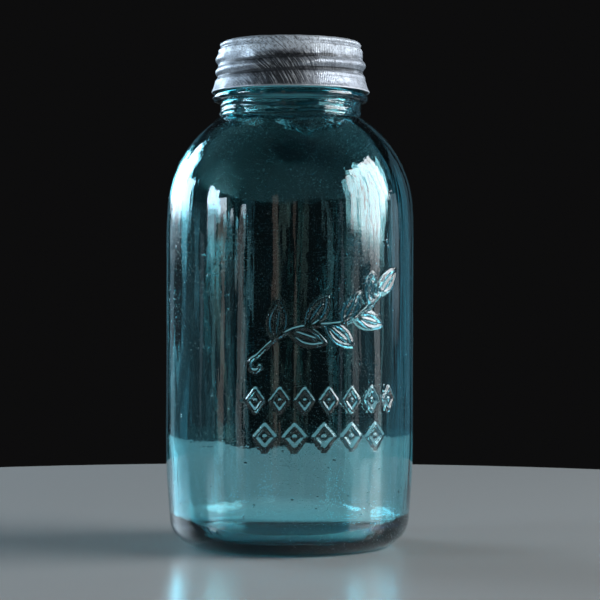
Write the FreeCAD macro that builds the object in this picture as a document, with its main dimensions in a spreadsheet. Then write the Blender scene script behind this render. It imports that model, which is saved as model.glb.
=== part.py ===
import FreeCAD, Part
import math
import os
import re
import Sketcher

# Half-gallon mason jar with its screw cap, in millimetres. The origin is the bottom centre of
# the jar, +Z is up and -Y is the front, where the embossed decoration is. Four pieces: the
# blown glass jar, the rubber ring on its sealing bead, the spun zinc cap and the opal glass
# liner that the cap's crimp holds. Every turned outline is drawn as (radius, height).

SIZES = {
    # the jar's outside
    "body_radius": (58.75, "straight part of the body"),
    "taper_top": (52.0, "height where the body reaches its full radius"),
    "heel_radius": (56.9, "body radius at the top of the heel"),
    "heel_arc": (14.0, "rounding of the heel"),
    "rest_inner": (40.5, "inner radius of the flat ring that the jar stands on"),
    "push_up": (3.0, "rise of the underside at its centre"),
    "side_top": (145.0, "height where the straight body ends"),
    "side_arc": (252.0, "slow curve between body and shoulder"),
    "side_angle": (3.8, "turn of that curve in degrees"),
    "shoulder_arc": (53.7, "radius of the shoulder's arc"),
    "neck_radius": (33.3, "neck under the bead"),
    "neck_blend": (2.0, "fillet between shoulder and neck"),
    "wall": (3.2, "glass thickness of body and shoulder"),
    # the jar's floor inside
    "floor_height": (7.0, "inner floor at its edge"),
    "floor_dome": (2.4, "rise of the inner floor at its centre"),
    "floor_corner": (11.0, "rounding between inner floor and wall"),
    # the finish
    "bead_bottom": (210.4, "underside of the sealing bead"),
    "bead_top": (215.3, "ledge that the rubber ring sits on"),
    "bead_radius": (36.7, "outside of the bead"),
    "bead_low_round": (2.2, "rounding under the bead"),
    "bead_top_round": (0.8, "rounding over the bead"),
    "finish_radius": (33.3, "finish between the threads"),
    "lip_height": (235.0, "top of the lip"),
    "lip_round": (1.5, "outer rounding of the lip"),
    "mouth_round": (1.2, "inner rounding of the lip"),
    "mouth_radius": (30.0, "clear mouth"),
    # the screw thread, one right-hand helix shared by glass and cap
    "pitch": (6.35, "rise of the thread in one turn"),
    "thread_zero": (221.6, "height of the thread's centre line over +X"),
    "glass_start": (57.0, "angle where the glass thread starts, in degrees from +X"),
    "glass_turns": (1.4, "length of the glass thread in turns"),
    "glass_crest": (34.75, "radius over the glass thread"),
    "glass_foot_half": (1.6, "half the glass thread's width at its foot"),
    "glass_crest_half": (0.4, "half the glass thread's width at its crest"),
    "roll_start": (-110.0, "angle where the cap's rolled thread starts, in the flare"),
    "roll_turns": (1.95, "length of the rolled thread in turns"),
    "roll_lead": (3.0, "angle by which the hollow of the roll starts and ends before its outside"),
    "roll_foot_half": (2.45, "half the roll's width where it leaves the skirt"),
    "roll_crest_half": (0.95, "half the roll's width at its crest"),
    "hollow_foot_half": (2.1, "half the width of the hollow at the skirt's inner face"),
    "hollow_crest_half": (0.75, "half the width of the hollow at its bottom"),
    # the cap
    "sheet": (0.55, "thickness of the zinc sheet"),
    "cap_top": (239.2, "top of the cap"),
    "band_radius": (33.6, "narrow band round the top"),
    "band_round": (1.8, "rounding of the top edge"),
    "crimp_radius": (33.0, "outside of the crimp that holds the liner"),
    "crimp_height": (236.2, "height of the crimp"),
    "skirt_radius": (34.3, "outside of the skirt between the rolls"),
    "skirt_top": (235.0, "height where the skirt starts under the crimp"),
    "skirt_bottom": (222.6, "height where the skirt starts to widen"),
    "roll_radius": (35.7, "outside of the rolled thread"),
    "waist_radius": (36.0, "skirt at the top of the flare"),
    "waist_height": (220.2, "height of the top of the flare"),
    "flare_radius": (37.65, "outer edge of the flare"),
    "flare_height": (215.1, "lower edge of the flare"),
    "flare_arc": (14.0, "outward curve of the flare"),
    # the liner and the rubber ring
    "liner_radius": (32.7, "liner flange over the crimp"),
    "liner_bottom": (235.3, "face over the lip"),
    "liner_step": (237.3, "underside of the liner's flange"),
    "liner_top": (238.35, "face under the cap's top"),
    "boss_radius": (31.9, "liner inside the crimp"),
    "liner_round": (0.8, "rounding of the liner's edges"),
    "ring_inner": (33.5, "rubber ring's bore"),
    "ring_top": (217.5, "rubber ring's top"),
    "ring_top_radius": (35.6, "outer edge of the rubber ring's top"),
    "ring_outer": (36.4, "rubber ring's outside"),
    "ring_edge": (215.7, "top of the ring's upright edge"),
}

FULL_TURN = 360.0


def make_sheet(doc):
    """The spreadsheet of driving dimensions: a name, its value and its meaning in each row."""
    sheet = doc.addObject("Spreadsheet::Sheet", "dims")
    for row, (name, (value, meaning)) in enumerate(SIZES.items(), start=1):
        sheet.set(f"A{row}", name)
        sheet.set(f"B{row}", str(value))
        sheet.setAlias(f"B{row}", name)
        sheet.set(f"C{row}", meaning)
    doc.recompute()
    return sheet


def bound(expression):
    """The expression with the sheet's names written the way other objects refer to them."""
    return re.sub(r"[a-z]\w*", lambda word: f"dims.{word[0]}" if word[0] in SIZES else word[0], expression)


def plane_of(body, role):
    """One of the body's own origin planes, by its role."""
    return next(item for item in body.Origin.OriginFeatures if item.Role == role)


def arc_between(first, last, radius, turn):
    """Arc of the given radius from first to last; turn is 1 for leftwards and -1 for rightwards."""
    chord = last - first
    reach = math.sqrt(max(radius**2 - chord.Length**2 / 4, 0.0))
    left = FreeCAD.Vector(-chord.y, chord.x, 0).normalize()
    centre = (first + last) / 2 + left * reach * turn
    ends = (first, last) if turn > 0 else (last, first)
    angles = [math.atan2(end.y - centre.y, end.x - centre.x) for end in ends]
    return Part.ArcOfCircle(Part.Circle(centre, FreeCAD.Vector(0, 0, 1), radius), *angles)


def outline(body, name, corners, angle="0"):
    """Closed sketch in the half plane at an angle from +X, x being the radius and y the height.

    A corner is (x, y), reached by a line, or (x, y, radius, turn), reached by an arc. Every
    number is an expression on the sheet, which the sketch's constraints are bound to.
    """
    sketch = body.newObject("Sketcher::SketchObject", name)
    sketch.AttachmentSupport = [(plane_of(body, "XZ_Plane"), "")]
    sketch.MapMode = "FlatFace"
    upright = FreeCAD.Rotation(FreeCAD.Vector(0, 1, 0), 1)
    sketch.AttachmentOffset = FreeCAD.Placement(FreeCAD.Vector(), upright)
    sketch.setExpression("AttachmentOffset.Rotation.Angle", bound(angle))
    places = [[sketch.evalExpression(bound(value)) for value in corner[:2]] for corner in corners]
    points = [FreeCAD.Vector(*place) for place in places]
    starts = []
    ends = []
    for index, corner in enumerate(corners):
        first = points[index - 1]
        last = points[index]
        if len(corner) == 2:
            edge = sketch.addGeometry(Part.LineSegment(first, last))
        else:
            radius = sketch.evalExpression(bound(corner[2]))
            edge = sketch.addGeometry(arc_between(first, last, radius, corner[3]))
            rule = sketch.addConstraint(Sketcher.Constraint("Radius", edge, radius))
            sketch.setExpression(f"Constraints[{rule}]", bound(corner[2]))
        rightwards = len(corner) == 4 and corner[3] < 0
        starts.append((edge, 2 if rightwards else 1))
        ends.append((edge, 1 if rightwards else 2))
    for index, corner in enumerate(corners):
        following = starts[(index + 1) % len(corners)]
        sketch.addConstraint(Sketcher.Constraint("Coincident", *ends[index], *following))
        for kind, axis, value, size in zip(("DistanceX", "DistanceY"), (-2, -1), corner, points[index]):
            if value == "0":
                sketch.addConstraint(Sketcher.Constraint("PointOnObject", *ends[index], axis))
            else:
                rule = sketch.addConstraint(Sketcher.Constraint(kind, -1, 1, *ends[index], size))
                sketch.setExpression(f"Constraints[{rule}]", bound(value))
    return sketch


def new_body(doc, label):
    """Empty body of one sub-part, at the origin of the part's frame."""
    body = doc.addObject("PartDesign::Body", label)
    body.Label = label
    body.Placement = FreeCAD.Placement()
    return body


def turned(body, name, corners, kind="PartDesign::Revolution"):
    """Adds an outline revolved fully about the vertical axis, or cuts it if the kind is a groove."""
    section = outline(body, f"{name}_outline", corners)
    feature = body.newObject(kind, name)
    feature.Profile = section
    feature.ReferenceAxis = (section, ["V_Axis"])
    feature.Angle = FULL_TURN
    return feature


def wound(body, kind, name, corners, angle, turns):
    """Winds an outline that stands at an angle from +X upwards along the right-hand thread."""
    section = outline(body, f"{name}_outline", corners, angle)
    feature = body.newObject(kind, name)
    feature.Profile = section
    feature.ReferenceAxis = (section, ["V_Axis"])
    feature.Mode = "pitch-turns-angle"
    feature.setExpression("Pitch", bound("pitch"))
    feature.setExpression("Turns", bound(turns))
    return feature


def wedge(foot, crest, foot_half, crest_half, height):
    """Corners of a thread's section, from its wide foot to its narrow crest, about a height."""
    return [
        (foot, f"{height} - {foot_half}"),
        (foot, f"{height} + {foot_half}"),
        (crest, f"{height} + {crest_half}"),
        (crest, f"{height} - {crest_half}"),
    ]


def glass_jar(doc):
    """Blown jar: domed underside, rounded heel, straight body, shoulder, neck, bead and thread."""
    body = new_body(doc, "glass_jar")
    rise = "sin(side_angle * 1deg)"
    reach = "cos(side_angle * 1deg)"
    axis = f"(body_radius - side_arc + (side_arc - shoulder_arc) * {reach})"
    centre = f"(side_top + (side_arc - shoulder_arc) * {rise})"
    blend = "(shoulder_arc + neck_blend)"
    blend_x = "(neck_radius + neck_blend)"
    blend_rise = f"sqrt({blend}^2 - ({blend_x} - {axis})^2)"
    inner_arc = "(shoulder_arc - wall)"
    rest_outer = "(heel_radius - heel_arc)"
    inner_wall = "(heel_radius - wall)"
    corners = [
        ("0", "push_up"),
        ("rest_inner", "0", "(rest_inner^2 + push_up^2) / (2 * push_up)", -1),
        (rest_outer, "0"),
        ("heel_radius", "heel_arc", "heel_arc", 1),
        ("body_radius", "taper_top"),
        ("body_radius", "side_top"),
        (f"{axis} + shoulder_arc * {reach}", f"{centre} + shoulder_arc * {rise}", "side_arc", 1),
        (
            f"{axis} + ({blend_x} - {axis}) * shoulder_arc / {blend}",
            f"{centre} + {blend_rise} * shoulder_arc / {blend}",
            "shoulder_arc",
            1,
        ),
        ("neck_radius", f"{centre} + {blend_rise}", "neck_blend", -1),
        ("neck_radius", "bead_bottom"),
        ("bead_radius - bead_low_round", "bead_bottom"),
        ("bead_radius", "bead_bottom + bead_low_round", "bead_low_round", 1),
        ("bead_radius", "bead_top - bead_top_round"),
        ("bead_radius - bead_top_round", "bead_top", "bead_top_round", 1),
        ("finish_radius", "bead_top"),
        ("finish_radius", "lip_height - lip_round"),
        ("finish_radius - lip_round", "lip_height", "lip_round", 1),
        ("mouth_radius + mouth_round", "lip_height"),
        ("mouth_radius", "lip_height - mouth_round", "mouth_round", 1),
        ("mouth_radius", f"{centre} + sqrt({inner_arc}^2 - (mouth_radius - {axis})^2)"),
        (f"{axis} + {inner_arc} * {reach}", f"{centre} + {inner_arc} * {rise}", inner_arc, -1),
        ("body_radius - wall", "side_top", "(side_arc - wall)", -1),
        ("body_radius - wall", "taper_top"),
        (inner_wall, "floor_height + floor_corner"),
        (f"{inner_wall} - floor_corner", "floor_height", "floor_corner", -1),
        (
            "0",
            "floor_height + floor_dome",
            f"(({inner_wall} - floor_corner)^2 + floor_dome^2) / (2 * floor_dome)",
            1,
        ),
    ]
    turned(body, "jar_wall", corners)
    height = "(thread_zero + pitch * glass_start / 360)"
    foot = "finish_radius - 0.4 * wall"
    section = wedge(foot, "glass_crest", "glass_foot_half", "glass_crest_half", height)
    wound(body, "PartDesign::AdditiveHelix", "jar_thread", section, "glass_start", "glass_turns")
    return body


def rubber_ring(doc):
    """Rubber ring squeezed into the wedge between the bead and the cap's flare."""
    body = new_body(doc, "rubber_ring")
    corners = [
        ("ring_inner", "bead_top"),
        ("bead_radius - bead_top_round", "bead_top"),
        ("ring_outer", "ring_edge"),
        ("ring_top_radius", "ring_top"),
        ("ring_inner", "ring_top"),
    ]
    turned(body, "ring", corners)
    return body


def zinc_cap(doc):
    """Spun cap: flat top, banded edge, crimp, skirt with a thread rolled outwards, and flare.

    The rolled thread starts inside the flare, so that the glass thread can leave through it.
    """
    body = new_body(doc, "zinc_cap")
    outside = [
        ("0", "flare_height"),
        ("flare_radius", "flare_height"),
        ("waist_radius", "waist_height", "flare_arc", -1),
        ("skirt_radius", "skirt_bottom"),
        ("skirt_radius", "skirt_top"),
        ("crimp_radius", "crimp_height"),
        ("band_radius", "cap_top - band_round"),
        ("band_radius - band_round", "cap_top", "band_round", 1),
        ("0", "cap_top"),
    ]
    turned(body, "cap_outside", outside)
    height = "(thread_zero + pitch * roll_start / 360)"
    section = wedge("skirt_radius - sheet / 2", "roll_radius", "roll_foot_half", "roll_crest_half", height)
    wound(body, "PartDesign::AdditiveHelix", "rolled_thread", section, "roll_start", "roll_turns")
    inside = [
        ("0", "flare_height - sheet"),
        ("flare_radius - sheet", "flare_height - sheet"),
        ("flare_radius - sheet", "flare_height"),
        ("waist_radius - sheet", "waist_height", "flare_arc + sheet", -1),
        ("skirt_radius - sheet", "skirt_bottom"),
        ("skirt_radius - sheet", "skirt_top - 0.4 * sheet"),
        ("crimp_radius - sheet", "crimp_height"),
        ("band_radius - sheet", "cap_top - band_round"),
        ("band_radius - band_round", "cap_top - sheet", "band_round - sheet", 1),
        ("0", "cap_top - sheet"),
    ]
    turned(body, "cap_inside", inside, "PartDesign::Groove")
    height = "(thread_zero + pitch * (roll_start - roll_lead) / 360)"
    foot = "skirt_radius - 1.5 * sheet"
    section = wedge(foot, "roll_radius - sheet", "hollow_foot_half", "hollow_crest_half", height)
    start = "roll_start - roll_lead"
    wound(body, "PartDesign::SubtractiveHelix", "thread_hollow", section, start, "roll_turns")
    return body


def glass_liner(doc):
    """Opal glass disc inside the cap: a boss over the lip and a flange over the crimp."""
    body = new_body(doc, "glass_liner")
    corners = [
        ("0", "liner_bottom"),
        ("boss_radius - liner_round", "liner_bottom"),
        ("boss_radius", "liner_bottom + liner_round", "liner_round", 1),
        ("boss_radius", "liner_step"),
        ("liner_radius", "liner_step"),
        ("liner_radius", "liner_top - liner_round"),
        ("liner_radius - liner_round", "liner_top", "liner_round", 1),
        ("0", "liner_top"),
    ]
    turned(body, "liner", corners)
    return body


def check(doc, bodies):
    """Stops if any object failed or any sub-part isn't one valid solid."""
    for item in doc.Objects:
        failed = [state for state in item.State if state in ("Invalid", "Error")]
        if failed:
            raise RuntimeError(f"{item.Label}: {failed}")
    for body in bodies:
        if body.Shape.isNull() or not body.Shape.isValid() or len(body.Shape.Solids) != 1:
            raise RuntimeError(f"{body.Label} isn't one valid solid")


def main():
    doc = FreeCAD.newDocument("mason_jar")
    make_sheet(doc)
    bodies = [make(doc) for make in (glass_jar, rubber_ring, zinc_cap, glass_liner)]
    doc.recompute()
    check(doc, bodies)
    os.makedirs("parts", exist_ok=True)
    for body in bodies:
        body.Shape.exportStep(f"parts/{body.Label}.step")
        print(f"{body.Label}: {body.Shape.Volume / 1000:.2f} cm3, {len(body.Shape.Faces)} faces")
    return doc


main()
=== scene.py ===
import math

import bpy
import numpy as np
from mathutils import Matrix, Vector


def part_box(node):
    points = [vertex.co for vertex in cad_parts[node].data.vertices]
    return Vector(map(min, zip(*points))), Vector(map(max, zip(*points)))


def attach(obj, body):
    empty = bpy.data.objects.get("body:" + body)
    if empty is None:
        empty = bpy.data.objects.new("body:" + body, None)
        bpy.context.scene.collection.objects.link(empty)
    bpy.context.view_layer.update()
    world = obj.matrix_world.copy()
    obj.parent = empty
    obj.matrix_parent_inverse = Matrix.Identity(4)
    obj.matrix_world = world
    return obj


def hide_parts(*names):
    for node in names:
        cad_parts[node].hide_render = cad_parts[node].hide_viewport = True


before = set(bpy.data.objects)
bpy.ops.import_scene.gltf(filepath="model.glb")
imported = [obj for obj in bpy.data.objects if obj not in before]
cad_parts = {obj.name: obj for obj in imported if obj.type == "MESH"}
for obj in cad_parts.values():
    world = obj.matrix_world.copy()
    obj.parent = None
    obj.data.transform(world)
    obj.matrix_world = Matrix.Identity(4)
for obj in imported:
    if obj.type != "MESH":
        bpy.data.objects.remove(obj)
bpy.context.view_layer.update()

# A vintage half-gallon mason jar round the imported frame: wavy blue-green glass with a raised
# sprig on its front, an oxidised zinc screw cap, the opal liner inside it and a rubber ring.
# Metres, +Z up, -Y the decorated front. Angles go from the front towards +X.

MM = 0.001
jar_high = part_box("glass_jar")[1]
cap_low, cap_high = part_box("zinc_cap")
liner_low, liner_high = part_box("glass_liner")
ring_low, ring_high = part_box("rubber_ring")

# The jar, as the frame has it.
BODY_RADIUS = float(jar_high[0])
LIP_HEIGHT = float(jar_high[2])
WALL = 3.2 * MM
SIDE_TOP = 145.0 * MM
NECK_RADIUS = 33.3 * MM
BEAD_TOP = 215.3 * MM
MOUTH_RADIUS = 30.0 * MM
FINISH_RADIUS = 33.3 * MM

# The screw thread that glass and cap share.
PITCH = 6.35 * MM
THREAD_ZERO = 221.6 * MM

# The zinc cap.
SHEET = 0.55 * MM
CAP_TOP = float(cap_high[2])
FLARE_RADIUS = float(cap_high[0])
FLARE_HEIGHT = float(cap_low[2])
SKIRT_RADIUS = 34.3 * MM
ROLL_RADIUS = 35.7 * MM


# ---------------------------------------------------------------- meshes


def follow(start, *stretches):
    """Outline points through stretches of (radius, height, spacing) or (..., arc radius, turn).

    A turn of 1 bends left on the way and -1 bends right, as in the frame's own outlines.
    """
    points = [np.array(start, float)]
    for stretch in stretches:
        first = points[-1]
        last = np.array(stretch[:2], float)
        chord = last - first
        length = np.hypot(*chord)
        if len(stretch) == 3:
            count = max(1, round(length / stretch[2]))
            points += [first + chord * (k / count) for k in range(1, count + 1)]
            continue
        radius, turn = stretch[3:]
        left = np.array([-chord[1], chord[0]]) / length
        centre = (first + last) / 2 + left * turn * math.sqrt(max(radius**2 - length**2 / 4, 0.0))
        begin = math.atan2(*(first - centre)[::-1])
        sweep = 2 * math.asin(min(1.0, length / (2 * radius))) * turn
        count = max(3, round(abs(sweep) * radius / stretch[2]))
        for k in range(1, count + 1):
            angle = begin + sweep * k / count
            points.append(centre + radius * np.array([math.cos(angle), math.sin(angle)]))
    return np.array(points)


def normals_of(outline):
    """Unit normals on the right-hand side of an outline, which is outside for a solid's outline."""
    along = np.gradient(outline, axis=0)
    along /= np.linalg.norm(along, axis=1, keepdims=True)
    return np.stack([along[:, 1], -along[:, 0]], axis=1)


def smooth_step(low, high, value):
    """0 below low, 1 above high, and a smooth rise between."""
    t = np.clip((value - low) / (high - low), 0.0, 1.0)
    return t * t * (3 - 2 * t)


def turned_piece(name, radius, height, angles, unrolled_radius):
    """Closed mesh from grids of radius and height, rows along an outline that starts and ends on
    the axis, or on itself, and columns round it. Its UV map is the unrolled surface in metres."""
    rows, columns = radius.shape
    on_axis = radius[0].max() < 1e-9
    x = radius * np.sin(angles)
    y = -radius * np.cos(angles)
    if on_axis:
        ring_rows = range(1, rows - 1)
        start = [(0.0, 0.0, float(height[0].mean()))]
        finish = [(0.0, 0.0, float(height[-1].mean()))]
    else:
        ring_rows = range(rows)
        start, finish = [], []
    grid = np.stack([x, y, height], axis=-1)[list(ring_rows)]
    vertices = start + [tuple(p) for p in grid.reshape(-1, 3)] + finish
    offset = len(start)
    count = len(grid)
    faces = []
    following = [(j + 1) % columns for j in range(columns)]
    for i in range(count - 1 if on_axis else count):
        a = offset + i * columns
        b = offset + ((i + 1) % count) * columns
        faces += [(a + j, a + following[j], b + following[j], b + j) for j in range(columns)]
    if on_axis:
        last = offset + (count - 1) * columns
        faces += [(0, offset + following[j], offset + j) for j in range(columns)]
        faces += [(last + j, last + following[j], len(vertices) - 1) for j in range(columns)]
    mesh = bpy.data.meshes.new(name)
    mesh.from_pydata(vertices, [], faces)
    mesh.polygons.foreach_set("use_smooth", np.ones(len(faces), bool))
    add_unrolled(mesh, unrolled_radius)
    mesh.validate()
    piece = bpy.data.objects.new(name, mesh)
    bpy.context.scene.collection.objects.link(piece)
    return piece


def add_unrolled(mesh, unrolled_radius):
    """UV map whose u is the angle times a radius and v the height less the radius, in metres."""
    places = np.empty(len(mesh.vertices) * 3)
    mesh.vertices.foreach_get("co", places)
    places = places.reshape(-1, 3)
    corner = np.empty(len(mesh.loops), int)
    mesh.loops.foreach_get("vertex_index", corner)
    sizes = np.empty(len(mesh.polygons), int)
    mesh.polygons.foreach_get("loop_total", sizes)
    face = np.repeat(np.arange(len(sizes)), sizes)
    angle = np.arctan2(places[corner, 0], -places[corner, 1])
    first = angle[np.concatenate([[0], np.cumsum(sizes)[:-1]])][face]
    angle += 2 * np.pi * (angle < first - np.pi) - 2 * np.pi * (angle > first + np.pi)
    reach = np.hypot(places[corner, 0], places[corner, 1])
    uv = np.stack([angle * unrolled_radius, places[corner, 2] - reach], axis=1)
    layer = mesh.uv_layers.new(name="unrolled")
    layer.data.foreach_set("uv", uv.reshape(-1))


def even_angles(count):
    """Angles right round, evenly spaced."""
    return np.radians(np.arange(count) * 360.0 / count - 180.0)


def waves(angles, heights, rng, turns, length, count):
    """Sum of slow waves, about 1 high: whole numbers of waves round the axis up to turns, and
    waves not shorter than length along the height."""
    total = np.zeros(np.broadcast(angles, heights).shape)
    for _ in range(count):
        around = rng.integers(1, turns + 1)
        along = rng.uniform(-1, 1) * 2 * np.pi / length
        total += np.sin(around * angles + along * heights + rng.uniform(0, 2 * np.pi))
    return total / math.sqrt(count)


# ---------------------------------------------------------------- ornament on the jar's front


def leaf(base, heading, length, width):
    """Pointed leaf outline from base, as two bowed sides, with its midrib."""
    t = np.linspace(0, 1, 22)
    along = np.array([math.cos(heading), math.sin(heading)])
    across = np.array([-along[1], along[0]])
    bow = np.sin(np.pi * t) ** 0.85 * width / 2 * (1.15 - 0.3 * t)
    sides = [base + np.outer(t * length, along) + np.outer(sign * bow, across) for sign in (1, -1)]
    rib = base + np.outer(np.linspace(0.0, 0.72, 8) * length, along)
    return sides + [rib]


def lozenge(centre, width, height):
    """Diamond outline with a dot in it."""
    corners = np.array([(-width, 0), (0, height), (width, 0), (0, -height), (-width, 0)]) / 2
    return [centre + corners, centre + np.zeros((2, 2))]


def sprig():
    """Strokes of the leaning sprig, in metres across and up the unrolled front."""
    t = np.linspace(0, 1, 60)
    start, end = np.array([-15.0, 91.0]), np.array([46.0, 120.0])
    stem = start + np.outer(t, end - start) + np.outer(np.sin(2 * np.pi * t) * 4.0, (-0.3, 1.0))
    strokes = [stem]
    for k, place in enumerate(np.linspace(0.16, 0.90, 7)):
        index = int(place * 59)
        tangent = stem[index + 1] - stem[index - 1]
        heading = math.atan2(tangent[1], tangent[0]) + (0.80 if k % 2 == 0 else -0.72)
        size = 18.5 - 5.0 * place
        strokes += leaf(stem[index], heading, size, size * 0.42)
    tangent = stem[-1] - stem[-3]
    strokes += leaf(stem[-1], math.atan2(tangent[1], tangent[0]) - 0.05, 16.0, 6.4)
    curl = np.linspace(0, 1.5 * np.pi, 26)
    first_turn = 4.0
    spread = first_turn * (1 - curl / (2.4 * np.pi))
    tendril = [start[0] - spread * np.sin(curl), start[1] - first_turn + spread * np.cos(curl)]
    strokes.append(np.stack(tendril, axis=1))
    return [stroke * MM for stroke in strokes]


def borders():
    """Strokes of the two rows of small diamonds under the sprig."""
    strokes = []
    tall = 10.4
    rows = ((71.5, -15.5, 52.0, 7, 7.6), (55.0, -11.0, 43.0, 5, 9.0))
    for height, first, last, count, width in rows:
        for across in np.linspace(first, last, count):
            strokes += lozenge(np.array([across, height]), width, tall)
    return [stroke * MM for stroke in strokes]


def raised(across, up, strokes, half_width, relief):
    """Height of rounded ridges along strokes, at points on the unrolled front."""
    nearest = np.full(across.shape, 1.0)
    for stroke in strokes:
        low = stroke.min(axis=0) - half_width
        high = stroke.max(axis=0) + half_width
        near = (across > low[0]) & (across < high[0]) & (up > low[1]) & (up < high[1])
        if not near.any():
            continue
        points = np.stack([across[near], up[near]], axis=1)[:, None, :]
        first, span = stroke[:-1], np.diff(stroke, axis=0)
        length = np.maximum((span**2).sum(axis=1), 1e-14)
        t = np.clip(((points - first) * span).sum(axis=2) / length, 0, 1)
        gap = points - first - t[..., None] * span
        distance = np.sqrt((gap**2).sum(axis=2)).min(axis=1)
        nearest[near] = np.minimum(nearest[near], distance)
    return relief * np.sqrt(np.clip(1 - (nearest / half_width) ** 2, 0, 1))


# ---------------------------------------------------------------- pieces


def jar_outline():
    """The jar's section from the underside's centre, up the outside and down the inside. Also
    the row where the inside starts."""
    heel_radius, heel_arc, taper_top = 56.9 * MM, 14.0 * MM, 52.0 * MM
    rest_inner, push_up = 40.5 * MM, 3.0 * MM
    taper = BODY_RADIUS - heel_radius
    taper_arc = ((taper_top - heel_arc) ** 2 + taper**2) / (2 * taper)
    side_arc, side_angle, shoulder_arc = 252.0 * MM, math.radians(3.8), 53.7 * MM
    axis = BODY_RADIUS - side_arc + (side_arc - shoulder_arc) * math.cos(side_angle)
    centre = SIDE_TOP + (side_arc - shoulder_arc) * math.sin(side_angle)
    ornament_top = 134.0 * MM
    blend = 2.0 * MM
    reach = shoulder_arc + blend
    rise = math.sqrt(reach**2 - (NECK_RADIUS + blend - axis) ** 2)
    share = shoulder_arc / reach
    bead_radius, bead_bottom = 36.7 * MM, 210.4 * MM
    low_round, top_round = 2.2 * MM, 1.5 * MM
    bead_rise = BEAD_TOP - bead_bottom - low_round
    bead_arc = (bead_rise**2 + top_round**2) / (2 * top_round)
    lip_round, mouth_round = 1.5 * MM, 1.2 * MM
    floor, dome, corner = 7.0 * MM, 2.4 * MM, 11.0 * MM
    inner_arc = shoulder_arc - WALL
    inner_wall = heel_radius - WALL
    floor_edge = inner_wall - corner

    def turned_by(radius):
        return axis + radius * math.cos(side_angle), centre + radius * math.sin(side_angle)

    outside = follow(
        (0.0, push_up),
        (rest_inner, 0.0, 3.0 * MM, (rest_inner**2 + push_up**2) / (2 * push_up), -1),
        (heel_radius - heel_arc, 0.0, 1.5 * MM),
        (heel_radius, heel_arc, 1.2 * MM, heel_arc, 1),
        (BODY_RADIUS, taper_top, 1.5 * MM, taper_arc, 1),
        (BODY_RADIUS, ornament_top, 0.52 * MM),
        (BODY_RADIUS, SIDE_TOP, 2.5 * MM),
        (*turned_by(shoulder_arc), 2.5 * MM, side_arc, 1),
        (axis + (NECK_RADIUS + blend - axis) * share, centre + rise * share, 1.5 * MM, shoulder_arc, 1),
        (NECK_RADIUS, centre + rise, 0.4 * MM, blend, -1),
        (NECK_RADIUS, bead_bottom - 0.6 * MM, 0.45 * MM),
        (NECK_RADIUS + 0.6 * MM, bead_bottom, 0.3 * MM, 0.6 * MM, -1),
        (bead_radius - low_round, bead_bottom, 0.5 * MM),
        (bead_radius, bead_bottom + low_round, 0.4 * MM, low_round, 1),
        (bead_radius - top_round, BEAD_TOP, 0.35 * MM, bead_arc, 1),
        (FINISH_RADIUS + 0.5 * MM, BEAD_TOP, 0.6 * MM),
        (FINISH_RADIUS, BEAD_TOP + 0.5 * MM, 0.3 * MM, 0.5 * MM, -1),
        (FINISH_RADIUS, LIP_HEIGHT - lip_round, 0.5 * MM),
        (FINISH_RADIUS - lip_round, LIP_HEIGHT, 0.4 * MM, lip_round, 1),
        (MOUTH_RADIUS + mouth_round, LIP_HEIGHT, 0.3 * MM),
    )
    shoulder_end = centre + math.sqrt(inner_arc**2 - (MOUTH_RADIUS - axis) ** 2)
    inside = follow(
        outside[-1],
        (MOUTH_RADIUS, LIP_HEIGHT - mouth_round, 0.4 * MM, mouth_round, 1),
        (MOUTH_RADIUS, shoulder_end, 1.2 * MM),
        (*turned_by(inner_arc), 2.5 * MM, inner_arc, -1),
        (BODY_RADIUS - WALL, SIDE_TOP, 4.0 * MM, side_arc - WALL, -1),
        (BODY_RADIUS - WALL, taper_top, 4.0 * MM),
        (inner_wall, floor + corner, 3.5 * MM),
        (floor_edge, floor, 1.2 * MM, corner, -1),
        (0.0, floor + dome, 2.5 * MM, (floor_edge**2 + dome**2) / (2 * dome), 1),
    )
    return np.vstack([outside, inside[1:]]), len(outside)


def jar_angles():
    """Columns round the jar: close together on the decorated front and at the two mould seams."""
    fine_from, fine_to, fine, coarse = -20.0, 64.0, 0.5, 2.2
    seams = [s + step for s in (-90.0, 90.0) for step in (-0.9, -0.6, -0.3, 0.0, 0.3, 0.6, 0.9)]
    rest = np.arange(fine_to + coarse, fine_from + 360.0 - coarse / 2, coarse)
    rest = [a for a in (rest + 180.0) % 360.0 - 180.0 if min(abs(a - s) for s in seams) > 0.8]
    return np.radians(sorted([*np.arange(fine_from, fine_to + fine / 2, fine), *rest, *seams]))


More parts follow.
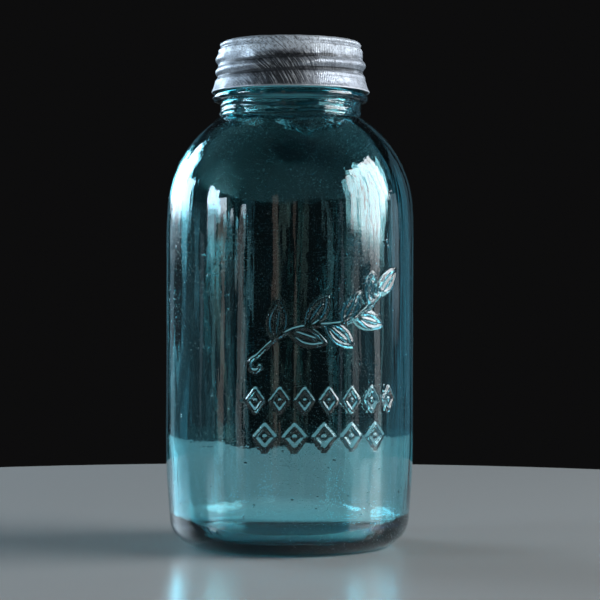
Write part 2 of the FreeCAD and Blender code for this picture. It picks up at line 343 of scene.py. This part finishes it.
def make_jar():
    """Blown glass jar with its raised ornament, thread, mould seams and uneven walls."""
    outline, inside_from = jar_outline()
    angles = jar_angles()
    normal = normals_of(outline)
    radius = outline[:, :1] + 0 * angles
    height = outline[:, 1:] + 0 * angles
    turn = angles[None, :]
    rows = np.arange(len(outline))[:, None]
    outside = rows < inside_from
    rng = np.random.default_rng(11)

    body = smooth_step(14 * MM, 40 * MM, height) * (1 - smooth_step(196 * MM, 203 * MM, height))
    slow = waves(turn, height, rng, 7, 90 * MM, 9)
    upright = waves(turn, height, rng, 16, 400 * MM, 9)
    lift = np.where(outside, 0.10 * MM * slow, 0.30 * MM * slow + 0.16 * MM * upright) * body
    neck = smooth_step(199 * MM, 203 * MM, height) * (1 - smooth_step(209.5 * MM, 212 * MM, height))
    rings = np.sin(2 * np.pi * height / (3.2 * MM) + 1.6 * waves(turn, height, rng, 5, 40 * MM, 5))
    rings = rings + 0.5 * waves(turn, height, rng, 24, 6 * MM, 8)
    lift += 0.19 * MM * rings * neck

    front = outside & (height > 40 * MM) & (height < 138 * MM)
    across = turn * BODY_RADIUS + 0 * height
    half_width, relief = 0.80 * MM, 0.50 * MM
    ornament = raised(across, height, sprig() + borders(), half_width, relief)
    lift += np.where(front, ornament, 0.0)

    seam_width, seam_height = 0.35 * MM, 0.12 * MM
    seam = np.exp(-((np.abs(np.abs(turn) - np.pi / 2) * BODY_RADIUS / seam_width) ** 2))
    seam_rows = outside & (height > 3 * MM) & (height < LIP_HEIGHT - 16 * MM)
    lift += np.where(seam_rows, seam_height * seam, 0.0)

    lift += np.where(outside & (height > BEAD_TOP + 1 * MM), thread(turn, height), 0.0)
    radius = radius + lift * normal[:, :1]
    height = height + lift * normal[:, 1:]
    return turned_piece("blown_glass_jar", radius, height, angles, BODY_RADIUS)


def laps(turn, height):
    """For each lap of the screw, a point's angle from its start in degrees and the height between
    the point and the lap's centre line."""
    for lap in range(3):
        angle = np.degrees(turn) - 90.0 + 360.0 * lap
        yield angle, np.abs(height - THREAD_ZERO - PITCH * angle / 360.0)


def thread(turn, height):
    """Height of the glass thread over the finish."""
    first, turns, run_out, depth = 57.0, 1.4, 14.0, 1.45 * MM
    last = first + 360 * turns
    total = np.zeros(np.broadcast(turn, height).shape)
    for angle, gap in laps(turn, height):
        ridge = 1 - smooth_step(0.5 * MM, 1.9 * MM, gap)
        ends = smooth_step(first, first + run_out, angle)
        ends = ends * (1 - smooth_step(last - run_out, last, angle))
        total = np.maximum(total, depth * ridge * ends)
    return total


def cap_outline():
    """Middle of the cap's sheet, from the centre of its top to the edge of its flare."""
    half = SHEET / 2
    top = CAP_TOP - half
    band = 33.6 * MM - half
    band_round = 1.8 * MM - half
    crimp, crimp_height = 33.0 * MM - half, 236.2 * MM
    dished = 0.35 * MM
    skirt = SKIRT_RADIUS - half
    waist, waist_height = 36.0 * MM - half, 220.2 * MM
    flare_arc = 14.0 * MM
    return follow(
        (0.0, top - dished),
        (23.0 * MM, top - dished, 2.5 * MM),
        (24.2 * MM, top, 0.4 * MM),
        (band - band_round, top, 1.5 * MM),
        (band, top - band_round, 0.3 * MM, band_round, -1),
        (crimp, crimp_height, 0.25 * MM),
        (skirt, crimp_height - 1.2 * MM, 0.25 * MM),
        (skirt, 222.6 * MM, 0.26 * MM),
        (waist, waist_height, 0.26 * MM),
        (FLARE_RADIUS - half - 0.3 * MM, FLARE_HEIGHT + 0.9 * MM, 0.28 * MM, flare_arc, 1),
        (FLARE_RADIUS - half, FLARE_HEIGHT + 0.3 * MM, 0.2 * MM),
    )


def roll(turn, height):
    """How far the rolled thread stands out of the skirt, from 0 to 1, and the height between a
    point and the nearest lap of the thread's centre line."""
    first, last, run_in, run_out = -110.0, 592.0, 20.0, 60.0
    ridge = np.zeros(np.broadcast(turn, height).shape)
    nearest = np.full(ridge.shape, 1.0)
    for angle, gap in laps(turn, height):
        ends = smooth_step(first, first + run_in, angle)
        ends = ends * (1 - smooth_step(last - run_out, last, angle))
        ridge = np.maximum(ridge, (1 - smooth_step(0.35 * MM, 2.9 * MM, gap)) * ends)
        nearest = np.where(ends > 0.3, np.minimum(nearest, gap), nearest)
    return ridge, nearest


def make_cap():
    """Spun zinc cap: a sheet of even thickness with the rolled thread and some old dents. Its
    attribute for the dark colour is high in the hollows round the roll and under the band: tarnish with
    painted shade, heaviest at the front."""
    outline = cap_outline()
    for _ in range(3):
        inner = outline[1:-1]
        outline[1:-1] = (outline[:-2] + 2 * inner + outline[2:]) / 4
    outline[0, 0] = 0.0
    angles = even_angles(400)
    turn = angles[None, :]
    normal = -normals_of(outline)
    radius = outline[:, :1] + 0 * turn
    height = outline[:, 1:] + 0 * turn
    rng = np.random.default_rng(5)
    half = SHEET / 2
    skirt_top, crimp_height = 235.2 * MM, 236.0 * MM

    wander = 0.30 * MM * waves(turn, height, rng, 4, 60 * MM, 5)
    ridge, gap = roll(turn, height + wander)
    side = (height < skirt_top) & (height > FLARE_HEIGHT)
    rolled = SKIRT_RADIUS - half + (ROLL_RADIUS - SKIRT_RADIUS) * ridge
    lift = np.where(side, np.maximum(rolled - radius, 0.0), 0.0)
    for _ in range(4):
        lift[1:-1] = (lift[:-2] + 2 * lift[1:-1] + lift[2:]) / 4
    skirt = smooth_step(20 * MM, 33 * MM, radius)
    lift += 0.09 * MM * waves(turn, height, rng, 6, 30 * MM, 6) * skirt
    lift += 0.05 * MM * waves(turn, height, rng, 26, 9 * MM, 10) * skirt
    sagging = 0.06 * MM * waves(turn, radius * 3, rng, 5, 60 * MM, 6)
    lift += sagging * (1 - skirt) * smooth_step(0, 8 * MM, radius)

    outer = (radius + (lift + half) * normal[:, :1], height + (lift + half) * normal[:, 1:])
    inner = (radius + (lift - half) * normal[:, :1], height + (lift - half) * normal[:, 1:])
    edge_radius = (outer[0][-1] + inner[0][-1]) / 2
    edge_height = (outer[1][-1] + inner[1][-1]) / 2
    tip = (edge_radius + 0.1 * MM, edge_height - 0.2 * MM)
    rows_r = np.vstack([inner[0], tip[0][None], outer[0][::-1]])
    rows_z = np.vstack([inner[1], tip[1][None], outer[1][::-1]])
    rows_r[0] = 0.0
    rows_r[-1] = 0.0
    piece = turned_piece("spun_zinc_cap", rows_r, rows_z, angles, SKIRT_RADIUS)

    # Tarnish with painted shade: the valleys and the line between the laps of the roll are darkened,
    # more towards the bottom.
    valley = smooth_step(1.7 * MM, 2.5 * MM, gap) * (1 - smooth_step(3.3 * MM, 5.0 * MM, gap))
    valley = np.where(side, valley, 0.0) * smooth_step(220.6 * MM, 222.0 * MM, height)
    crimp = 1 - smooth_step(0.3 * MM, 1.3 * MM, np.abs(height - crimp_height))
    line = 1 - smooth_step(0.4 * MM, 1.1 * MM, np.abs(gap - PITCH / 2))
    line = np.where(side, line, 0.0) * smooth_step(221.0 * MM, 222.0 * MM, height)
    # Painted shade: the darkening of the hollows is heaviest at the front.
    front = 1 - smooth_step(0.25, 0.95, np.abs(turn + 0.1))
    low = 1 - smooth_step(226.5 * MM, 228.5 * MM, height)
    tarnish_and_shade = valley * (0.35 + 0.35 * front) + line * (0.45 + 0.95 * front) * (0.35 + 0.65 * low)
    tarnish_and_shade = np.maximum(tarnish_and_shade, 0.1 * crimp * (radius > 30 * MM))
    grid = np.vstack([tarnish_and_shade, tarnish_and_shade[-1:], tarnish_and_shade[::-1]])
    values = np.concatenate([grid[0][:1], grid[1:-1].ravel(), grid[-1][:1]])
    layer = piece.data.attributes.new("tarnish_and_shade", "FLOAT", "POINT")
    layer.data.foreach_set("value", values)
    return piece


def make_liner():
    """Pressed opal glass disc with rounded edges and pressed rings on its underside."""
    low, high = float(liner_low[2]), float(liner_high[2])
    edge = float(liner_high[0])
    step, boss, soft = 237.3 * MM, 31.9 * MM, 0.8 * MM
    outline = follow(
        (0.0, low + 0.5 * MM),
        (9.0 * MM, low + 0.5 * MM, 1.0 * MM),
        (9.8 * MM, low, 0.25 * MM),
        (11.2 * MM, low, 0.4 * MM),
        (12.0 * MM, low + 0.4 * MM, 0.25 * MM),
        (26.0 * MM, low + 0.4 * MM, 1.0 * MM),
        (26.8 * MM, low, 0.25 * MM),
        (boss - soft, low, 0.8 * MM),
        (boss, low + soft, 0.2 * MM, soft, 1),
        (boss, step, 0.4 * MM),
        (edge - 0.2 * MM, step, 0.3 * MM),
        (edge, step + 0.2 * MM, 0.1 * MM, 0.2 * MM, 1),
        (edge, high - soft, 0.3 * MM),
        (edge - soft, high, 0.2 * MM, soft, 1),
        (0.0, high, 1.5 * MM),
    )
    angles = even_angles(180)
    radius = outline[:, :1] + 0 * angles
    height = outline[:, 1:] + 0 * angles
    return turned_piece("opal_liner", radius, height, angles, boss)


def make_ring():
    """Rubber ring squeezed between the bead and the flare, its edges rounded."""
    low, high = float(ring_low[2]) + 0.02 * MM, float(ring_high[2])
    outer, bore, top = float(ring_high[0]), 33.5 * MM, 35.6 * MM
    soft = 0.25 * MM
    outline = follow(
        (bore, low + soft),
        (bore + soft, low, 0.1 * MM, soft, 1),
        (outer - soft, low, 0.4 * MM),
        (outer, low + soft, 0.1 * MM, soft, 1),
        (top + soft / 2, high - soft, 0.3 * MM),
        (top - soft, high, 0.1 * MM),
        (bore + soft, high, 0.3 * MM),
        (bore, high - soft, 0.1 * MM, soft, 1),
        (bore, low + 2 * soft, 0.3 * MM),
    )
    angles = even_angles(180)
    rng = np.random.default_rng(3)
    normal = normals_of(outline)
    lift = 0.03 * MM * waves(angles[None, :], outline[:, 1:], rng, 20, 20 * MM, 8)
    radius = outline[:, :1] + lift * normal[:, :1]
    height = outline[:, 1:] + np.minimum(lift, 0) * normal[:, 1:]
    return turned_piece("sealing_ring", radius, height, angles, outer)


# ---------------------------------------------------------------- materials


class Nodes:
    """Short way to write a material's node tree."""

    def __init__(self, name):
        self.material = bpy.data.materials.new(name)
        self.material.use_nodes = True
        self.tree = self.material.node_tree
        self.tree.nodes.clear()
        self.output = self.tree.nodes.new("ShaderNodeOutputMaterial")

    def add(self, kind, links=None, **values):
        """A node: values sets its sockets (by name, underscores for spaces) or its settings."""
        node = self.tree.nodes.new(f"ShaderNode{kind}")
        for key, value in values.items():
            socket = key.replace("_", " ")
            if socket in node.inputs:
                node.inputs[socket].default_value = value
            else:
                setattr(node, key, value)
        for socket, source in (links or {}).items():
            self.tree.links.new(source, node.inputs[socket])
        return node

    def shader(self, surface, **settings):
        """Principled shader: links for what varies over the surface, numbers for what doesn't."""
        bsdf = self.add("BsdfPrincipled", surface, **settings)
        self.tree.links.new(bsdf.outputs[0], self.output.inputs["Surface"])

    def place(self, scale, kind="Object"):
        """Object or unrolled coordinates, scaled, for the textures."""
        if kind == "Object":
            source = self.add("TexCoord").outputs["Object"]
        else:
            source = self.add("UVMap", uv_map="unrolled").outputs["UV"]
        return self.add("Mapping", {"Vector": source}, Scale=scale).outputs[0]

    def noise(self, vector, scale, detail=3.0, roughness=0.55):
        """Noise between 0 and 1."""
        settings = {"Scale": scale, "Detail": detail, "Roughness": roughness}
        return self.add("TexNoise", {"Vector": vector}, **settings).outputs["Fac"]

    def ramp(self, source, low, high, from_value=0.0, to_value=1.0):
        """Smooth change from one value to another as source goes from low to high."""
        node = self.tree.nodes.new("ShaderNodeMapRange")
        node.interpolation_type = "SMOOTHSTEP"
        for socket, value in zip((1, 2, 3, 4), (low, high, from_value, to_value)):
            node.inputs[socket].default_value = value
        self.tree.links.new(source, node.inputs[0])
        return node.outputs[0]

    def math(self, operation, first, second=0.0):
        """Sum, product or the like of two values, either of which may be a number."""
        node = self.tree.nodes.new("ShaderNodeMath")
        node.operation = operation
        for socket, value in zip(node.inputs, (first, second)):
            if isinstance(value, (int, float)):
                socket.default_value = value
            else:
                self.tree.links.new(value, socket)
        return node.outputs[0]

    def blend(self, factor, first, second):
        """Colour mix of two colours or colour sources."""
        node = self.tree.nodes.new("ShaderNodeMix")
        node.data_type = "RGBA"
        for index, value in ((0, factor), (6, first), (7, second)):
            if isinstance(value, tuple):
                node.inputs[index].default_value = (*value, 1.0)
            else:
                self.tree.links.new(value, node.inputs[index])
        return node.outputs[2]

    def bump(self, height, distance, strength=1.0, normal=None):
        """Bump from a height between 0 and 1, that many metres deep."""
        links = {"Height": height}
        if normal is not None:
            links["Normal"] = normal
        return self.add("Bump", links, Distance=distance, Strength=strength).outputs[0]


def aqua_glass():
    """Old blue-green glass: tinted through its thickness, with cords, seeds, dust and worn haze."""
    m = Nodes("aqua_glass")
    free = m.place((1.0, 1.0, 1.0))
    upright = m.place((1.0, 1.0, 0.10))
    cords = m.noise(upright, 75.0, detail=3.0)
    strings = m.noise(m.place((1.0, 1.0, 0.025)), 330.0, detail=2.0)
    ripples = m.noise(free, 120.0, detail=3.0)
    seeds = m.add("TexVoronoi", {"Vector": free}, Scale=110.0, feature="F1").outputs["Distance"]
    seeds = m.ramp(seeds, 0.03, 0.09, 1.0, 0.0)
    patches = m.noise(free, 28.0, detail=5.0, roughness=0.7)
    specks = 0.0
    for scale, size in ((420.0, 0.11), (950.0, 0.15)):
        spots = m.add("TexVoronoi", {"Vector": free}, Scale=scale, feature="F1").outputs["Distance"]
        spots = m.math("LESS_THAN", spots, m.ramp(patches, 0.38, 0.66, 0.0, size))
        specks = m.math("MAXIMUM", spots, specks)
    wear = m.noise(free, 35.0, detail=6.0, roughness=0.7)
    haze = m.math("ADD", m.ramp(wear, 0.45, 0.75, 0.012, 0.09), m.math("MULTIPLY", specks, 0.3))
    normal = m.bump(cords, 0.50 * MM, 0.6)
    normal = m.bump(strings, 0.06 * MM, 0.6, normal)
    normal = m.bump(ripples, 0.05 * MM, 0.6, normal)
    normal = m.bump(seeds, 0.12 * MM, 0.8, normal)
    m.shader(
        {"Roughness": haze, "Normal": normal},
        Base_Color=(0.93, 0.985, 1.0, 1.0),
        IOR=1.52,
        Transmission_Weight=1.0,
        Sheen_Weight=0.03,
        Sheen_Roughness=0.45,
        Sheen_Tint=(0.62, 0.86, 1.0, 1.0),
    )
    tint = m.add("VolumeAbsorption", Color=(0.06, 0.81, 0.87, 1.0), Density=150.0)
    m.tree.links.new(tint.outputs[0], m.output.inputs["Volume"])
    return m.material


def zinc():
    """Oxidised zinc: dull grey metal with a chalky bloom, made lighter at the band's front as painted
    light, dark tarnish with painted shade in the hollows, a painted dark reflection at the front
    crossed by curved scratches, a painted highlight on the worn lip, and milled ticks."""
    m = Nodes("oxidised_zinc")
    free = m.place((1.0, 1.0, 1.0))
    spun = m.place((40.0, 1100.0, 1.0), "unrolled")
    clouds = m.noise(free, 70.0, detail=7.0, roughness=0.68)
    grain = m.noise(free, 750.0, detail=3.0, roughness=0.7)
    spinning = m.noise(spun, 1.0, detail=4.0, roughness=0.6)

    # Scratches run along arcs about a point to the lower left of the front. The painted dark
    # reflection lies a little to the left of the front.
    arcs_side, arcs_height, patch_side = -0.034, 0.2023, -0.0055
    unrolled = m.add("UVMap", uv_map="unrolled").outputs["UV"]
    place = m.add("SeparateXYZ", {"Vector": unrolled})
    side, rise = place.outputs["X"], place.outputs["Y"]
    across = m.math("SUBTRACT", side, arcs_side)
    up = m.math("SUBTRACT", m.add("SeparateXYZ", {"Vector": free}).outputs["Z"], arcs_height)
    squares = m.math("ADD", m.math("MULTIPLY", across, across), m.math("MULTIPLY", up, up))
    reach = m.math("SQRT", squares)
    bearing = m.math("ARCTAN2", up, across)

    def along_arcs(fineness, breaks, roughness):
        """Noise drawn out along the arcs: so fine across them, and so broken along them."""
        spread = {"X": m.math("MULTIPLY", reach, fineness), "Y": m.math("MULTIPLY", bearing, breaks)}
        return m.noise(m.add("CombineXYZ", spread).outputs[0], 1.0, detail=3.0, roughness=roughness)

    strokes = along_arcs(2600.0, 3.0, 0.6)
    nicks = along_arcs(1700.0, 16.0, 0.65)

    # The unrolled height tells the parts of the cap apart: its edge, the roll, the band, the top.
    edge_ends, band_starts, top_starts = (0.1776, 0.1790), (0.1966, 0.1992), (0.2045, 0.2070)
    upright = m.ramp(rise, *top_starts, 1.0, 0.0)
    below = m.ramp(rise, *band_starts, 1.0, 0.0)
    offset = m.math("ABSOLUTE", m.math("SUBTRACT", side, patch_side))
    offset = m.math("ADD", offset, m.math("MULTIPLY", clouds, 0.016))
    # Painted reflection: a dark patch at the front, standing in for the dark room seen in the metal.
    painted_dark_reflection = m.math("MULTIPLY", m.ramp(offset, 0.016, 0.027, 1.0, 0.0), below)
    round_it = m.place((1.0, 0.0, 0.0), "unrolled")
    ticks = m.add("TexWave", {"Vector": round_it}, Scale=350.0, Distortion=0.0)
    ticked = m.math("MULTIPLY", m.ramp(side, 0.006, 0.016), upright)
    ticks = m.math("MULTIPLY", ticks.outputs["Fac"], ticked)

    # Tarnish with painted shade in the hollows, from the cap's attribute.
    tarnish_and_shade = m.add("Attribute", attribute_name="tarnish_and_shade").outputs["Fac"]
    # The darkening sums tarnish with painted shade, the painted dark reflection and random tone.
    tarnish_and_reflection = m.math("ADD", tarnish_and_shade, m.math("MULTIPLY", painted_dark_reflection, 0.64))
    tarnish_and_reflection = m.math("ADD", tarnish_and_reflection, m.math("MULTIPLY", m.math("SUBTRACT", clouds, 0.5), 2.4))
    tarnish_and_reflection = m.math("ADD", tarnish_and_reflection, m.math("MULTIPLY", m.math("SUBTRACT", spinning, 0.5), 1.0))
    dark = m.ramp(tarnish_and_reflection, 0.15, 1.0)
    crossed = m.math("MULTIPLY", m.ramp(offset, 0.018, 0.036, 1.0, 0.3), upright)
    scratch = m.math("MULTIPLY", m.ramp(strokes, 0.54, 0.60), m.math("MULTIPLY", crossed, below))
    groove = m.math("MULTIPLY", m.ramp(strokes, 0.40, 0.46, 1.0, 0.0), crossed)
    flecks = m.math("MULTIPLY", m.ramp(nicks, 0.56, 0.62), crossed)
    pits = m.ramp(grain, 0.52, 0.62)
    # Painted light: the band is made lighter and less metallic at its front, where the side lamps leave
    # it dark; the top gets the bloom evenly.
    front = m.math("MULTIPLY", m.ramp(offset, 0.024, 0.040, 1.0, 0.3), upright)
    front = m.math("MAXIMUM", front, m.ramp(rise, *top_starts, 0.0, 0.6))
    band = m.math("MULTIPLY", m.math("SUBTRACT", 1.0, below), front)
    colour = m.blend(m.ramp(spinning, 0.35, 0.65), (0.27, 0.295, 0.345), (0.42, 0.455, 0.515))
    clean = m.math("MULTIPLY", m.ramp(tarnish_and_shade, 0.4, 1.0, 0.8, 0.1), scratch)
    # Painted highlight: the flare's lip is painted light all round for the lamps' glint on it, besides
    # real wear.
    edge = m.ramp(rise, *edge_ends, 1.0, 0.0)
    layers = (
        (m.math("MULTIPLY", band, 0.9), (0.82, 0.875, 0.95)),  # chalky bloom on the band and top, lighter at the band's front as painted light
        (dark, (0.026, 0.029, 0.035)),  # tarnish, with painted shade in the hollows and the painted dark reflection at the front
        (clean, (0.74, 0.76, 0.78)),  # bright scratches
        (m.math("MULTIPLY", groove, 0.75), (0.030, 0.032, 0.036)),  # dark grooves between them
        (m.math("MULTIPLY", flecks, 0.8), (0.035, 0.037, 0.042)),  # short dark nicks
        (m.math("MULTIPLY", pits, 0.6), (0.10, 0.10, 0.11)),  # pits
        (m.math("MULTIPLY", edge, 0.7), (0.72, 0.75, 0.79)),  # worn edge, painted lighter all round as a painted highlight on the flare's lip
    )
    for factor, tone in layers:
        colour = m.blend(factor, colour, tone)
    metallic = m.ramp(clouds, 0.40, 0.62, 0.70, 0.35)
    # The band's painted light also lowers its metallic.
    metallic = m.math("MULTIPLY", metallic, m.math("SUBTRACT", 1.0, m.math("MULTIPLY", band, 0.7)))
    rough = m.math("ADD", m.ramp(clouds, 0.38, 0.64, 0.30, 0.46), m.math("MULTIPLY", grain, 0.10))
    normal = m.bump(spinning, 0.08 * MM, 0.5)
    normal = m.bump(scratch, 0.05 * MM, 0.7, normal)
    normal = m.bump(ticks, 0.14 * MM, 0.7, normal)
    normal = m.bump(grain, 0.06 * MM, 0.7, normal)
    m.shader({"Base Color": colour, "Metallic": metallic, "Roughness": rough, "Normal": normal})
    return m.material


def opal_glass():
    """Milk glass: white, faintly clouded, glossy where pressed."""
    m = Nodes("opal_glass")
    free = m.place((1.0, 1.0, 1.0))
    clouds = m.noise(free, 60.0, detail=4.0)
    colour = m.blend(m.ramp(clouds, 0.3, 0.7), (0.86, 0.875, 0.84), (0.93, 0.935, 0.92))
    stain = m.ramp(m.noise(free, 140.0, detail=6.0, roughness=0.7), 0.62, 0.78, 0.0, 0.5)
    colour = m.blend(stain, colour, (0.62, 0.60, 0.52))
    rough = m.ramp(clouds, 0.3, 0.8, 0.10, 0.28)
    normal = m.bump(m.noise(free, 300.0, detail=3.0), 0.03 * MM, 0.5)
    m.shader(
        {"Base Color": colour, "Roughness": rough, "Normal": normal},
        Subsurface_Weight=0.35,
        Subsurface_Radius=(0.004, 0.004, 0.004),
        IOR=1.5,
    )
    return m.material


def old_rubber():
    """Perished grey rubber with a dusty bloom and fine cracks."""
    m = Nodes("old_rubber")
    free = m.place((1.0, 1.0, 1.0))
    dust = m.ramp(m.noise(free, 220.0, detail=5.0, roughness=0.7), 0.42, 0.68)
    colour = m.blend(dust, (0.045, 0.042, 0.040), (0.16, 0.15, 0.14))
    cells = m.add("TexVoronoi", {"Vector": free}, Scale=900.0, feature="DISTANCE_TO_EDGE")
    cracks = m.ramp(cells.outputs["Distance"], 0.0, 0.08)
    normal = m.bump(cracks, 0.05 * MM, 0.6)
    m.shader({"Base Color": colour, "Roughness": m.ramp(dust, 0.0, 1.0, 0.62, 0.85), "Normal": normal})
    return m.material


def floor_material():
    """Plain pale floor with a soft sheen."""
    m = Nodes("pale_floor")
    m.shader({}, Base_Color=(0.50, 0.50, 0.495, 1.0), Roughness=0.2)
    return m.material


# ---------------------------------------------------------------- stage


def make_stage():
    """Round pale floor in a dark room, with the soft lights round the jar."""
    radius, corners = 0.50, 96
    t = np.linspace(0, 2 * np.pi, corners, endpoint=False)
    mesh = bpy.data.meshes.new("floor")
    rim = [(radius * math.cos(a), radius * math.sin(a), 0.0) for a in t]
    mesh.from_pydata(rim, [], [tuple(range(corners))])
    mesh.materials.append(floor_material())
    floor = bpy.data.objects.new("floor", mesh)
    bpy.context.scene.collection.objects.link(floor)

    world = bpy.data.worlds.new("studio")
    world.use_nodes = True
    dark_room = (0.0040, 0.0040, 0.0042, 1.0)
    world.node_tree.nodes["Background"].inputs["Color"].default_value = dark_room
    bpy.context.scene.world = world
    bpy.context.scene.view_settings.view_transform = "Standard"

    for light in LIGHTS:
        soft_light(*light)


# Each soft light: the azimuths and elevations that it fills seen from the jar, the height over
# which its lower edge fades, all in degrees, its radiance and colour. Tall panes stand beside the
# jar, with dim strips and glows below them.
DAYLIGHT = (0.92, 0.97, 1.0)
SKYLIGHT = (0.68, 0.86, 1.0)
SHADE = (0.60, 0.84, 1.0)
DEEP = (0.36, 0.76, 1.0)
WARM = (1.0, 0.84, 0.72)
LIGHTS = (
    ("pane_right_1", (58.0, 66.0), (2.4, 31.0), 4.0, 8.0, DAYLIGHT),
    ("pane_right_2", (67.0, 78.0), (0.6, 35.5), 3.0, 10.0, DAYLIGHT),
    ("pane_right_3", (79.2, 92.0), (0.2, 38.0), 3.0, 12.0, DAYLIGHT),
    ("pane_right_4", (93.0, 100.0), (5.0, 38.5), 2.5, 12.0, DAYLIGHT),
    ("pane_right_5", (100.6, 107.5), (9.0, 38.0), 4.0, 12.0, DAYLIGHT),
    ("pane_left_1", (-83.0, -76.0), (6.5, 19.5), 2.0, 19.0, SKYLIGHT),
    ("pane_left_2", (-76.0, -68.0), (6.5, 17.5), 2.0, 19.0, SKYLIGHT),
    ("pane_left_3", (-68.0, -61.0), (5.5, 11.5), 2.0, 13.0, SKYLIGHT),
    ("pane_left_4", (-56.0, -53.0), (4.5, 7.5), 1.5, 8.0, SKYLIGHT),
    ("pane_left_5", (-46.0, -43.0), (5.5, 8.5), 1.5, 8.0, SKYLIGHT),
    ("pane_left_low", (-82.0, -70.0), (1.4, 6.5), 1.5, 3.4, SHADE),
    ("pane_back_left_1", (-152.0, -143.0), (4.0, 20.0), 2.5, 7.0, SKYLIGHT),
    ("pane_back_left_2", (-142.4, -132.0), (3.2, 31.0), 2.2, 10.0, SKYLIGHT),
    ("pane_back_left_3", (-131.4, -119.0), (3.2, 30.0), 2.4, 10.0, SKYLIGHT),
    ("pane_back_left_4", (-118.4, -106.5), (4.2, 20.0), 3.0, 10.0, SKYLIGHT),
    ("pane_back_left_low", (-145.0, -118.0), (0.4, 3.2), 1.4, 1.2, SHADE),
    ("strip_right_1", (60.0, 66.0), (-22.0, 2.0), 2.0, 0.8, DAYLIGHT),
    ("strip_right_2", (84.0, 91.0), (-22.0, 1.0), 4.0, 1.5, DAYLIGHT),
    ("strip_right_3", (46.0, 49.0), (-22.0, 10.0), 0.0, 0.6, SHADE),
    ("strip_right_4", (108.0, 118.0), (-3.0, 12.0), 2.0, 1.1, SHADE),
    ("strip_left_1", (-66.0, -61.0), (-22.0, 8.0), 0.0, 0.9, WARM),
    ("strip_left_2", (-47.0, -42.0), (-22.0, 8.0), 0.0, 0.9, DAYLIGHT),
    ("strip_left_3", (-90.0, -86.0), (-22.0, 2.0), 0.0, 0.5, SHADE),
    ("strip_left_4", (-143.0, -132.0), (-22.0, 1.0), 0.0, 0.45, SHADE),
    ("strip_front_1", (-14.0, -9.0), (-20.0, 14.0), 0.0, 0.6, WARM),
    ("strip_front_2", (3.0, 6.0), (-20.0, 10.0), 0.0, 0.4, WARM),
    ("glow_right", (54.0, 128.0), (-22.0, 8.0), 0.0, 0.16, SHADE),
    ("glow_back_right", (130.0, 150.0), (-22.0, 24.0), 0.0, 0.20, DEEP),
    ("glow_left", (-132.0, -52.0), (-22.0, 8.0), 0.0, 0.10, SHADE),
    ("rim_left", (-166.0, -157.0), (-22.0, 20.0), 0.0, 0.12, DEEP),
    ("rim_right", (156.0, 166.0), (-22.0, 24.0), 0.0, 0.10, DEEP),
)
LIGHT_DISTANCE = 1.7
LIGHT_BASE = 0.15
FADE_BANDS = 5


def soft_light(name, azimuths, elevations, fade, radiance, colour):
    """Upright light facing the jar that fills those azimuths and elevations. Its lower edge fades
    in bands, each brighter than the one under it."""
    half = math.radians(azimuths[1] - azimuths[0]) / 2
    turn = math.radians(sum(azimuths) / 2)
    bands = FADE_BANDS if fade else 0
    edges = [elevations[0] + fade * k / FADE_BANDS for k in range(bands + 1)] + [elevations[1]]
    for k in range(bands + 1):
        low, high = (LIGHT_DISTANCE * math.tan(math.radians(angle)) for angle in edges[k : k + 2])
        light = bpy.data.lights.new(name, "AREA")
        light.shape = "RECTANGLE"
        light.size = 2 * LIGHT_DISTANCE * math.tan(half)
        light.size_y = high - low
        light.energy = radiance * (k + 1) / (bands + 1) * math.pi * light.size * light.size_y
        light.color = colour
        lamp = bpy.data.objects.new(name, light)
        across, back = LIGHT_DISTANCE * math.sin(turn), LIGHT_DISTANCE * math.cos(turn)
        lamp.location = (across, -back, (low + high) / 2 + LIGHT_BASE)
        lamp.rotation_euler = (math.radians(90), 0.0, turn)
        bpy.context.scene.collection.objects.link(lamp)


def make_camera():
    """Level camera at the height of the jar's middle, a metre away, a little to the right of it."""
    data = bpy.data.cameras.new("camera")
    data.sensor_width = 36.0
    data.lens = 125.9
    camera = bpy.data.objects.new("camera", data)
    distance, height, aside, roll = 1.0, 0.1167, 0.0048, -0.16
    camera.location = (aside, -distance, height)
    camera.rotation_euler = (math.radians(90), math.radians(roll), 0.0)
    bpy.context.scene.collection.objects.link(camera)
    bpy.context.scene.camera = camera


# ---------------------------------------------------------------- assembly

PIECES = (
    (make_jar, aqua_glass, "jar", "glass_jar", "aqua_glass"),
    (make_ring, old_rubber, "jar", "rubber_ring", "grey_rubber"),
    (make_liner, opal_glass, "liner", "glass_liner", "opal_glass"),
    (make_cap, zinc, "cap", "zinc_cap", "zinc"),
)

for make, material, body, node, slot in PIECES:
    piece = make()
    piece.data.materials.append(material())
    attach(piece, body)
    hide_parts(node)

make_stage()
make_camera()
